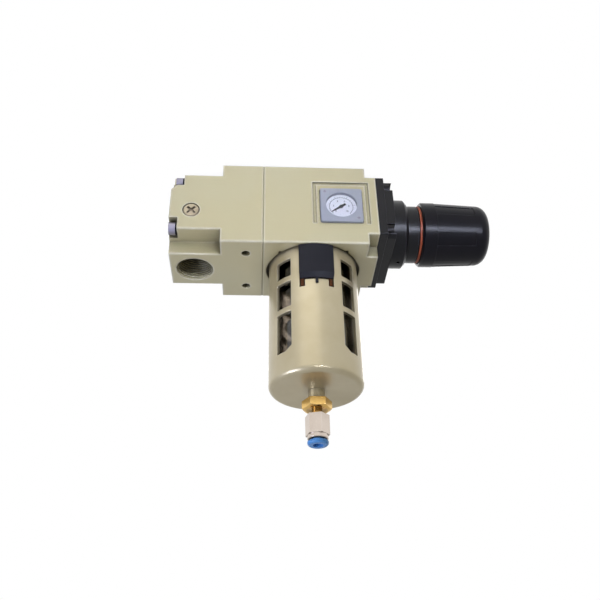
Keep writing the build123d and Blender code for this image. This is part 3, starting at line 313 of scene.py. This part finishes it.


# Every finish lays painted shade into its corners and recesses, and most paint a pale highlight
# along their edges.
FINISHES = {
    # Satin champagne enamel sprayed on a die casting: an even warm colour with fine orange peel.
    # A wide pale painted highlight along the edges, partly spray thinned there, and strong
    # painted shade in the corners, seams and recesses.
    "cast_body": Finish("champagne_enamel_on_casting", "cec59a", "cdbf8d", metallic=0.1,
                        roughness=0.44, surface=Surface.CAST, grain_mm=0.8, relief_mm=0.014,
                        patch_mm=50.0, edge_mm=2.0, edge_highlight_and_wear_colour="f6f1de", edge_highlight_and_wear_share=0.8,
                        crevice_shade_mm=16.0, crevice_shade_share=0.75, coat=0.8),
    # Drawn aluminium, anodised: long faint draw lines and a soft sheen that runs down it.
    "guard_shell": Finish("champagne_anodised_drawn_shell", "c9bd9c", "bdaf8a", metallic=0.6,
                          roughness=0.35, surface=Surface.DRAWN, grain_mm=0.35, relief_mm=0.004,
                          edge_mm=0.5, edge_highlight_and_wear_colour="f4f0e4", crevice_shade_share=0.5, coat=0.3),
    # Glass filled nylon, moulded: near black, dull, with a fine pitted skin, and grey painted
    # highlights on its edges.
    "black_plastic": Finish("glass_filled_nylon", "0f0f13", "151519", roughness=0.33,
                            specular=0.25, grain_mm=0.35, relief_mm=0.006, edge_mm=0.5,
                            edge_highlight_and_wear_colour="4a4a54", edge_highlight_and_wear_share=0.6),
    # The knob is polished by hands: smoother than the bonnet, with a soft streak of light.
    "knob_plastic": Finish("semi_gloss_black_nylon", "111117", "19151a", roughness=0.3,
                           roughness_spread=0.04, specular=0.15, grain_mm=0.3, relief_mm=0.003,
                           edge_mm=0.4, edge_highlight_and_wear_colour="3a3a43"),
    # Slate acetal, moulded with a fine spark finish, so it stays matt.
    "button_plastic": Finish("slate_acetal", "222228", "28282e", roughness=0.5, specular=0.15,
                             grain_mm=0.4, relief_mm=0.008, edge_mm=0.4),
    # Polycarbonate, dip clear: dark where the bowl's inside shows, with crisp highlights.
    "clear_bowl": ClearFinish("clear_polycarbonate", "958e86", 1.0, 1.0, 0.1, 9.0, 1.585),
    # Zinc plate with a thin blue passivation, turned, so the rings catch the light.
    "steel_screw": Finish("zinc_plated_steel", "b7b5c0", "9f9dab", metallic=1.0, roughness=0.35,
                          surface=Surface.TURNED, along=Along.X, grain_mm=0.4, relief_mm=0.004),
    # Black oxide on steel: a soft oily black that goes brown on the high spots; the brown edge
    # colour is partly that wear and partly a painted highlight.
    "dark_steel": Finish("blackened_steel", "19191c", "242120", metallic=0.8, roughness=0.42,
                         edge_highlight_and_wear_colour="4a4642"),
    # Spring wire, drawn bright.
    "spring_steel": Finish("drawn_spring_wire", "a9a9ae", "98989e", metallic=1.0,
                           roughness=0.3),
    # Coppered spring wire: a warm red brown that has dulled.
    "copper_wire": Finish("copper_coloured_spring_wire", "9d6848", "8a563c", metallic=0.9,
                          roughness=0.36),
    # Free-cutting brass, turned and milled: bright yellow flats with fine tool marks. Strong
    # painted shade darkens the neck and the undersides, and pale painted highlights run along
    # the edges.
    "brass": Finish("turned_brass", "f6cf83", "dcab58", metallic=1.0, roughness=0.2,
                    surface=Surface.TURNED, grain_mm=0.3, relief_mm=0.003, edge_highlight_and_wear_colour="fbe9b8",
                    crevice_shade_mm=7.0, crevice_shade_share=0.75),
    # Bright nickel over brass: a warm silver that mirrors the room in upright streaks, with
    # painted shade in its recesses and pale painted highlights on its edges.
    "nickel": Finish("nickel_plated_brass", "d6c9bd", "c2b5a9", metallic=1.0, roughness=0.17,
                     surface=Surface.TURNED, grain_mm=0.4, relief_mm=0.002, edge_highlight_and_wear_colour="f4efec",
                     crevice_shade_share=0.6),
    # Blue acetal, slightly waxy.
    "blue_plastic": Finish("blue_acetal", "6cb8ff", "5eaaff", roughness=0.35, grain_mm=0.4,
                           relief_mm=0.006, edge_highlight_and_wear_colour="9cc4fc"),
    # Orange moulded band, matt and a little faded.
    "orange_plastic": Finish("orange_moulded_band", "ab4f2b", "9c452d", roughness=0.5),
    # Nitrile rubber, dull with a bloom.
    "seal_rubber": Finish("nitrile_rubber", "1b1b1c", "232324", roughness=0.7, relief_mm=0.02),
    # Fabric reinforced rubber, with the weave showing through.
    "diaphragm_rubber": Finish("fabric_reinforced_rubber", "242424", "2d2c2b", roughness=0.8,
                               grain_mm=0.8, relief_mm=0.05),
    # Sintered polyethylene: chalky and porous.
    "element_media": Finish("sintered_polyethylene", "e4e2da", "d6d3c8", roughness=0.85,
                            surface=Surface.CAST, grain_mm=0.4, relief_mm=0.08),
    # White acetal, a little creamy.
    "white_plastic": Finish("white_acetal", "dcdcd8", "d0d0cb", roughness=0.4),
    # Closed cell foam, grey and grainy.
    "float_foam": Finish("closed_cell_foam", "55555a", "616166", roughness=0.85,
                         surface=Surface.CAST, grain_mm=0.6, relief_mm=0.06),
    # Grey moulded frame with a faint blue cast.
    "gauge_frame": Finish("grey_moulded_frame", "b2b5be", "a7abb5", roughness=0.42,
                          grain_mm=0.3, relief_mm=0.005, edge_mm=0.3, edge_highlight_and_wear_colour="c9ced8"),
    # Printed dial, cool white card with a dull lacquer.
    "dial_face": Finish("printed_white_dial", "fafbff", "f1f3fc", roughness=0.55,
                        surface=Surface.PLAIN, relief_mm=0.002, crevice_shade_share=0.0),
    # Clear acrylic window: almost nothing but its reflections.
    "lens": ClearFinish("clear_acrylic", "f4f6f8", 0.0, 0.04, 0.03, 12.0, 1.49),
    # Black paint on the hand and the marks.
    "pointer_black": Finish("black_painted_hand", "1c1b20", "26242a", roughness=0.4,
                            surface=Surface.PLAIN, relief_mm=0.003),
    # Turned aluminium, bright with fine rings.
    "aluminium_plain": Finish("turned_aluminium", "c6c7ca", "b9babf", metallic=1.0,
                              roughness=0.32, surface=Surface.TURNED, along=Along.X),
}

NODE_FINISHES = {
    # The plug is plated dull and has picked up the colour of the enamel round it.
    # Painted shade darkens its recess and the gap round it, and its rim has a pale painted
    # highlight.
    "port_plug": Finish("dull_plated_plug", "bfb295", "a3937f", metallic=0.5, roughness=0.42,
                        surface=Surface.TURNED, along=Along.Y, grain_mm=0.4, relief_mm=0.005,
                        edge_highlight_and_wear_colour="d9cfb8", crevice_shade_share=0.6),
    # The long screws stand in deep pockets. Their blue passivated lavender grey is darker than
    # the open zinc screws, as painted shade of the pockets, and strong painted crevice shade
    # darkens them further.
    "block_screws": Finish("blue_passivated_screws", "9b98a8", "7f7c8c", metallic=0.9,
                           roughness=0.38, surface=Surface.TURNED, along=Along.X, grain_mm=0.4,
                           relief_mm=0.006, edge_highlight_and_wear_colour="d8d6e2", crevice_shade_share=0.7),
}


@dataclass(frozen=True)
class PaperFinish:
    """Pale studio paper: nearly white to the eye, and darker where the object's shadow falls."""

    name: str = "pale_studio_paper"
    colour: str = "e2e2e2"
    fibre: str = "dadada"
    fibre_mm: float = 6.0
    glow_share: float = 0.6

    def build(self) -> bpy.types.Material:
        """Make the material.

        Returns:
            The Blender material with its node tree.
        """
        material, tree, place = new_material(self.name)
        fibres = add_node(tree, "ShaderNodeTexNoise", {
            "Vector": place, "Scale": 1 / (self.fibre_mm * MM), "Detail": 3.0}).outputs["Fac"]
        colour = add_node(tree, "ShaderNodeMix", {
            0: fibres, 6: linear(self.colour), 7: linear(self.fibre)},
            data_type="RGBA").outputs[2]
        paper = add_node(tree, "ShaderNodeBsdfPrincipled", {
            "Base Color": colour, "Roughness": 0.85, "Specular IOR Level": 0.2})
        glow = add_node(tree, "ShaderNodeEmission", {"Color": linear("ffffff")})
        share = add_node(tree, "ShaderNodeMath", {
            0: seen_directly(tree), 1: self.glow_share}, operation="MULTIPLY").outputs[0]
        both = add_node(tree, "ShaderNodeMixShader", {
            0: share, 1: paper.outputs[0], 2: glow.outputs[0]})
        add_node(tree, "ShaderNodeOutputMaterial", {"Surface": both.outputs[0]})
        return material


@dataclass(frozen=True)
class Lamp:
    """A soft area lamp that looks at the object."""

    name: str
    place: tuple[float, float, float]
    width: float
    height: float
    watts: float
    tint: str = "ffffff"
    spread: float = math.pi
    looks_at: tuple[float, float, float] = (0.06, 0.0, 0.0)

    def hang(self) -> None:
        """Hang the lamp, out of the camera's sight."""
        data = bpy.data.lights.new(self.name, "AREA")
        data.shape, data.size, data.size_y = "RECTANGLE", self.width, self.height
        data.energy, data.color, data.spread = self.watts, linear(self.tint)[:3], self.spread
        shown = bpy.data.objects.new(self.name, data)
        towards = Vector(self.looks_at) - Vector(self.place)
        shown.matrix_world = (Matrix.Translation(self.place)
                              @ towards.to_track_quat("-Z", "Y").to_matrix().to_4x4())
        shown.visible_camera = False
        bpy.context.scene.collection.objects.link(shown)


LAMPS = (
    # High, wide and a little to the left: an even front and the pale streak down the guard.
    Lamp("key", (-0.25, -1.05, 0.9), 1.1, 0.7, 2.5, "fffaf2"),
    # A long tube low in front: the bright lines along the block's lower edges.
    Lamp("tube", (0.12, -0.97, -0.2), 1.6, 0.02, 0.3, "eef2ff", math.radians(45)),
    # A short tube to the right, aimed at the knob: the long streak on it and on the neck.
    Lamp("streak", (0.46, -0.97, -0.2), 0.5, 0.08, 0.14, "dfe6ff", math.radians(16),
         (0.19, -0.02, 0.03)),
    # Near the floor at the left: lifts the undersides, most of all at the pipe end.
    Lamp("bounce", (-0.22, -0.15, -0.27), 0.16, 0.16, 0.17, "d6deff", math.radians(80)),
    # Behind and above: the back and the top, which the camera doesn't see.
    Lamp("rear", (0.3, 1.2, 0.9), 1.0, 0.8, 6.0),
)


@dataclass
class Photographer:
    """Camera, lamps, floor and background at the photograph's viewing angle."""

    place_mm: tuple[float, float, float] = (43.91, -414.82, -289.65)
    yaw: float = 0.0638
    pitch: float = 0.5698
    roll: float = -0.0199
    lens_mm: float = 44.863
    sensor_mm: float = 36.0
    floor_z: float = -0.34
    floor_size: float = 8.0
    surround: float = 0.05

    def aim(self) -> Matrix:
        """Work out where the camera stands and how it is turned.

        Returns:
            The camera's world matrix.
        """
        ahead = Vector((math.sin(self.yaw) * math.cos(self.pitch),
                        math.cos(self.yaw) * math.cos(self.pitch), math.sin(self.pitch)))
        level = Vector((math.cos(self.yaw), -math.sin(self.yaw), 0.0))
        up = level.cross(ahead)
        across = math.cos(self.roll) * level + math.sin(self.roll) * up
        above = math.cos(self.roll) * up - math.sin(self.roll) * level
        turn = Matrix((across, above, -ahead)).transposed().to_4x4()
        return Matrix.Translation(Vector(self.place_mm) * MM) @ turn

    def camera(self) -> None:
        """Create the camera and make it the scene's own."""
        data = bpy.data.cameras.new("camera")
        data.lens, data.sensor_width = self.lens_mm, self.sensor_mm
        data.clip_start, data.clip_end = 0.01, 50.0
        shown = bpy.data.objects.new("camera", data)
        shown.matrix_world = self.aim()
        bpy.context.scene.collection.objects.link(shown)
        bpy.context.scene.camera = shown

    def background(self) -> None:
        """Make the world: white where it is seen, reflected or looked through."""
        world = bpy.data.worlds.new("studio")
        world.use_nodes = True
        tree = world.node_tree
        tree.nodes.clear()
        strength = add_node(tree, "ShaderNodeMapRange", {
            "Value": seen_directly(tree), "To Min": self.surround, "To Max": 1.0}
        ).outputs["Result"]
        sky = add_node(tree, "ShaderNodeBackground", {
            "Color": (1.0, 1.0, 1.0, 1.0), "Strength": strength})
        add_node(tree, "ShaderNodeOutputWorld", {"Surface": sky.outputs[0]})
        bpy.context.scene.world = world

    def floor(self) -> None:
        """Lay the pale floor below the object and the camera."""
        put_down()
        bpy.ops.mesh.primitive_plane_add(size=self.floor_size, location=(0, 0, self.floor_z))
        shown = bpy.context.object
        shown.name = "floor"
        shown.data.materials.append(PaperFinish().build())

    def set_up(self) -> None:
        """Put up everything that isn't the object."""
        self.camera()
        self.background()
        self.floor()
        for lamp in LAMPS:
            lamp.hang()
        bpy.context.scene.view_settings.view_transform = "Standard"


def put_down() -> None:
    """Leave edit mode and deselect everything, because operators act on what is selected."""
    if bpy.context.object and bpy.context.object.mode != "OBJECT":
        bpy.ops.object.mode_set(mode="OBJECT")
    bpy.ops.object.select_all(action="DESELECT")


def pick_up(*pieces: bpy.types.Object) -> None:
    """Select only these pieces, the first of them active.

    Args:
        *pieces: The pieces.
    """
    put_down()
    for piece in pieces:
        piece.select_set(True)
    bpy.context.view_layer.objects.active = pieces[0]


def settle(piece: bpy.types.Object) -> None:
    """Put a piece's place, turn and scale into its mesh.

    Args:
        piece: The piece.
    """
    pick_up(piece)
    bpy.ops.object.transform_apply(location=True, rotation=True, scale=True)


def apply_all(piece: bpy.types.Object) -> None:
    """Apply every modifier of a piece, in order.

    Args:
        piece: The piece.
    """
    pick_up(piece)
    for name in [modifier.name for modifier in piece.modifiers]:
        bpy.ops.object.modifier_apply(modifier=name)


def join_as(name: str, pieces: list[bpy.types.Object]) -> bpy.types.Object:
    """Join pieces to one.

    Args:
        name: Name of the joined piece.
        pieces: What is joined.

    Returns:
        The joined piece.
    """
    pick_up(*pieces)
    bpy.ops.object.join()
    whole = bpy.context.object
    whole.name = whole.data.name = name
    settle(whole)
    return whole


class Bench:
    """Keeps the finished materials and sets the pieces on their bodies."""

    def __init__(self) -> None:
        """Make every material once."""
        self.materials = {slot: finish.build() for slot, finish in FINISHES.items()}
        self.own = {node: finish.build() for node, finish in NODE_FINISHES.items()}
        self.slots = {part["node"]: part["material_slot"]
                      for part in frame["record"]["subparts"]}

    def dress(self, node: str) -> None:
        """Give a CAD node its own finish, or that of its slot.

        Args:
            node: Name of the node.
        """
        shown = frame["nodes"][node]
        shown.data.materials.clear()
        shown.data.materials.append(self.own.get(node) or self.materials[self.slots[node]])
        LOG.info("dressed %s", node)

    def set_on(self, piece: bpy.types.Object, body: str, slot: str) -> None:
        """Give a new piece its finish and the body that carries it.

        Args:
            piece: The piece.
            body: Body of the frame.
            slot: Material slot of the record.
        """
        piece.data.materials.clear()
        piece.data.materials.append(self.materials[slot])
        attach(piece, body)
        LOG.info("made %s, %d faces", piece.name, len(piece.data.polygons))


@dataclass
class SubAssembly:
    """A group of CAD nodes that is dressed together."""

    nodes: tuple[str, ...]

    def build(self, bench: Bench) -> None:
        """Dress the nodes.

        Args:
            bench: Materials and the way to set pieces down.
        """
        for node in self.nodes:
            bench.dress(node)


@dataclass
class PortBlock(SubAssembly):
    """Port block, with the pipe threads wound into both of its ports."""

    nodes: tuple[str, ...] = ("port_block", "gallery_seals", "block_screws", "block_washers",
                              "port_plug")
    pitch: float = 1.81 * MM
    turns: int = 11
    ridge: float = 0.66 * MM
    bite: float = 0.1 * MM
    lead_in: float = 1.6 * MM
    steps: int = 56

    def thread(self, name: str, radius: float, lowest: float) -> bpy.types.Object:
        """Wind one pipe thread: a three-sided ridge on a helix, its crest inwards.

        Args:
            name: Name of the piece.
            radius: Radius of the port.
            lowest: Height at which the ridge starts.

        Returns:
            The ridge.
        """
        put_down()
        bpy.ops.mesh.primitive_circle_add(
            vertices=3, radius=self.ridge, fill_type="NOTHING",
            location=(radius + self.bite - self.ridge / 2, 0, lowest),
            rotation=(math.radians(90), math.radians(-90), 0))
        ridge = bpy.context.object
        ridge.name = ridge.data.name = name
        settle(ridge)
        wind = ridge.modifiers.new("wind", "SCREW")
        wind.axis, wind.angle, wind.screw_offset = "Z", math.tau, self.pitch
        wind.iterations, wind.steps, wind.render_steps = self.turns, self.steps, self.steps
        apply_all(ridge)
        bpy.ops.object.mode_set(mode="EDIT")
        bpy.ops.mesh.select_all(action="DESELECT")
        bpy.ops.mesh.select_non_manifold()
        bpy.ops.mesh.fill_holes(sides=3)
        bpy.ops.mesh.select_all(action="SELECT")
        bpy.ops.mesh.normals_make_consistent(inside=False)
        put_down()
        return ridge

    def build(self, bench: Bench) -> None:
        """Dress the nodes and wind the threads.

        Args:
            bench: Materials and the way to set pieces down.
        """
        super().build(bench)
        ports = {mount["name"]: mount for mount in frame["record"]["mounts"]}
        radius = ports["lower_port"]["dims"]["r_mm"] * MM
        length = self.turns * self.pitch
        top = ports["upper_port"]["pos_m"][2] - self.lead_in - length
        for name, lowest in (("lower_port_thread", self.lead_in), ("upper_port_thread", top)):
            bench.set_on(self.thread(name, radius, lowest), "housing", "cast_body")


@dataclass
class ValveBody(SubAssembly):
    """Die-cast body, with the valve and the diaphragm inside it."""

    nodes: tuple[str, ...] = ("body", "valve_seat", "valve_guide", "valve_poppet", "valve_stem",
                              "valve_spring", "diaphragm", "diaphragm_plate", "wet_side_plate")


@dataclass
class GuardedBowl(SubAssembly):
    """Clear bowl in its guard, the lock button, and the filter that hangs in the bowl."""

    nodes: tuple[str, ...] = ("bowl", "bowl_seal", "bowl_guard", "lock_button", "lock_springs",
                              "swirl_ring", "filter_tube", "filter_element", "baffle",
                              "baffle_screw")


@dataclass
class DrainEnd(SubAssembly):
    """Automatic drain in the bowl, and the push-in fitting below the guard."""

    nodes: tuple[str, ...] = ("drain_housing", "drain_float", "drain_nut", "fitting_body",
                              "fitting_seal", "grip_ring", "release_ring")


@dataclass
class KnobEnd(SubAssembly):
    """Bonnet, adjusting train and knob, with the band that shows while the knob is out."""

    nodes: tuple[str, ...] = ("bonnet", "bonnet_screws", "adjusting_screw", "retaining_clip",
                              "adjusting_nut", "adjusting_spring", "knob")
    band_width: float = 1.6 * MM
    band_rounding: float = 0.3 * MM
    band_sides: int = 144

    def band(self) -> bpy.types.Object:
        """Model the band: a narrow strip round the neck, rounded at both edges.

        Returns:
            The band.
        """
        low, high = (Vector(corner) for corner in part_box("lock_band"))
        middle = (low + high) / 2
        radius = high.z - middle.z
        seat = min(math.hypot(point.co.y - middle.y, point.co.z - middle.z)
                   for point in frame["nodes"]["lock_band"].data.vertices)
        put_down()
        bpy.ops.mesh.primitive_cylinder_add(
            vertices=self.band_sides, radius=radius, depth=self.band_width,
            end_fill_type="NOTHING", rotation=(0, math.radians(90), 0),
            location=(high.x - self.band_width / 2, middle.y, middle.z))
        band = bpy.context.object
        band.name = band.data.name = "neck_band"
        settle(band)
        wall = band.modifiers.new("wall", "SOLIDIFY")
        wall.thickness, wall.offset = radius - seat, -1.0
        rounding = band.modifiers.new("rounding", "BEVEL")
        rounding.width, rounding.segments = self.band_rounding, 3
        rounding.limit_method, rounding.angle_limit = "ANGLE", math.radians(40)
        apply_all(band)
        bpy.ops.object.shade_smooth_by_angle(angle=math.radians(35))
        return band

    def build(self, bench: Bench) -> None:
        """Dress the nodes and put the band on the neck.

        Args:
            bench: Materials and the way to set pieces down.
        """
        super().build(bench)
        band = self.band()
        bench.set_on(band, "housing", "orange_plastic")
        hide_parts("lock_band")


@dataclass
class PressureGauge(SubAssembly):
    """Square gauge, with the scale printed on its dial."""

    nodes: tuple[str, ...] = ("gauge_case", "gauge_seal", "gauge_dial", "gauge_lens",
                              "gauge_pointer", "gauge_screws")
    first_angle: float = math.radians(-135)
    sweep: float = math.radians(270)
    arc_radius: float = 7.9 * MM
    arc_width: float = 0.22 * MM
    print_height: float = 0.03 * MM
    tick_width: float = 0.16 * MM
    short_tick: float = 0.8 * MM
    long_tick: float = 1.5 * MM
    ticks_per_number: int = 5
    numbers: tuple[str, ...] = ("0", "2", "4", "6", "8", "10")
    number_size: float = 2.0 * MM
    number_radius: float = 5.2 * MM

    def __post_init__(self) -> None:
        """Find the middle of the dial's face."""
        low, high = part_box("gauge_dial")
        self.middle = Vector(((low[0] + high[0]) / 2, low[1], (low[2] + high[2]) / 2))

    def tick(self, turn: float, length: float) -> bpy.types.Object:
        """Model one tick of the scale: a flat bar with rounded ends.

        Args:
            turn: Its angle, clockwise from the top.
            length: Its length.

        Returns:
            The tick.
        """
        put_down()
        bpy.ops.mesh.primitive_cube_add(size=1.0, location=(0, 0, self.arc_radius + length / 2),
                                        scale=(self.tick_width, self.print_height, length))
        tick = bpy.context.object
        settle(tick)
        bpy.ops.object.mode_set(mode="EDIT")
        bpy.ops.mesh.select_all(action="SELECT")
        bpy.ops.mesh.bevel(offset=self.tick_width / 5, segments=2)
        bpy.ops.object.mode_set(mode="OBJECT")
        tick.matrix_world = (Matrix.Translation(self.middle)
                             @ Matrix.Rotation(turn, 4, "Y"))
        settle(tick)
        return tick

    def scale_ticks(self) -> bpy.types.Object:
        """Copy the tick round the dial, with a long one at each number.

        Returns:
            All ticks as one piece.
        """
        steps = (len(self.numbers) - 1) * self.ticks_per_number
        return join_as("dial_ticks", [
            self.tick(self.first_angle + self.sweep * step / steps,
                      self.short_tick if step % self.ticks_per_number else self.long_tick)
            for step in range(steps + 1)])

    def scale_arc(self) -> bpy.types.Object:
        """Model the thin arc that the ticks stand on.

        Returns:
            The arc.
        """
        put_down()
        bpy.ops.mesh.primitive_circle_add(vertices=120, radius=self.arc_radius,
                                          fill_type="NOTHING", location=self.middle,
                                          rotation=(math.radians(90), 0, 0))
        arc = bpy.context.object
        arc.name = arc.data.name = "dial_arc"
        settle(arc)
        bpy.ops.object.mode_set(mode="EDIT")
        bpy.ops.mesh.select_all(action="SELECT")
        bpy.ops.mesh.extrude_edges_move()
        inner = 1 - self.arc_width / self.arc_radius
        bpy.ops.transform.resize(value=(inner, 1, inner), center_override=self.middle)
        bpy.ops.mesh.select_all(action="DESELECT")
        bpy.ops.object.mode_set(mode="OBJECT")
        for face in arc.data.polygons:
            away = face.center - self.middle
            face.select = abs(math.atan2(away.x, away.z)) > self.sweep / 2
        bpy.ops.object.mode_set(mode="EDIT")
        bpy.ops.mesh.select_mode(type="FACE")
        bpy.ops.mesh.delete(type="FACE")
        bpy.ops.object.mode_set(mode="OBJECT")
        thick = arc.modifiers.new("thick", "SOLIDIFY")
        thick.thickness, thick.offset = self.print_height, 0.0
        apply_all(arc)
        return arc

    def scale_numbers(self) -> bpy.types.Object:
        """Print the plain numbers inside the arc.

        Returns:
            All numbers as one piece.
        """
        shown = []
        for at, number in enumerate(self.numbers):
            turn = self.first_angle + self.sweep * at / (len(self.numbers) - 1)
            put_down()
            bpy.ops.object.text_add(
                location=self.middle + self.number_radius * Vector((math.sin(turn), 0,
                                                                    math.cos(turn))),
                rotation=(math.radians(90), 0, 0))
            text = bpy.context.object
            text.data.body, text.data.size = number, self.number_size
            text.data.align_x, text.data.align_y = "CENTER", "CENTER"
            text.data.extrude = self.print_height / 2
            bpy.ops.object.convert(target="MESH")
            shown.append(bpy.context.object)
        return join_as("dial_numbers", shown)

    def build(self, bench: Bench) -> None:
        """Dress the nodes and print the dial.

        Args:
            bench: Materials and the way to set pieces down.
        """
        super().build(bench)
        for piece in (self.scale_ticks(), self.scale_arc(), self.scale_numbers()):
            bench.set_on(piece, "housing", "pointer_black")


def main() -> None:
    """Build the scene: the stage, then each sub-assembly from the pipe end to the knob."""
    logging.basicConfig(level=logging.INFO)
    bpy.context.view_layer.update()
    Photographer().set_up()
    bench = Bench()
    for sub_assembly in (PortBlock(), ValveBody(), GuardedBowl(), DrainEnd(), KnobEnd(),
                         PressureGauge()):
        sub_assembly.build(bench)


if __name__ == "__main__":
    main()
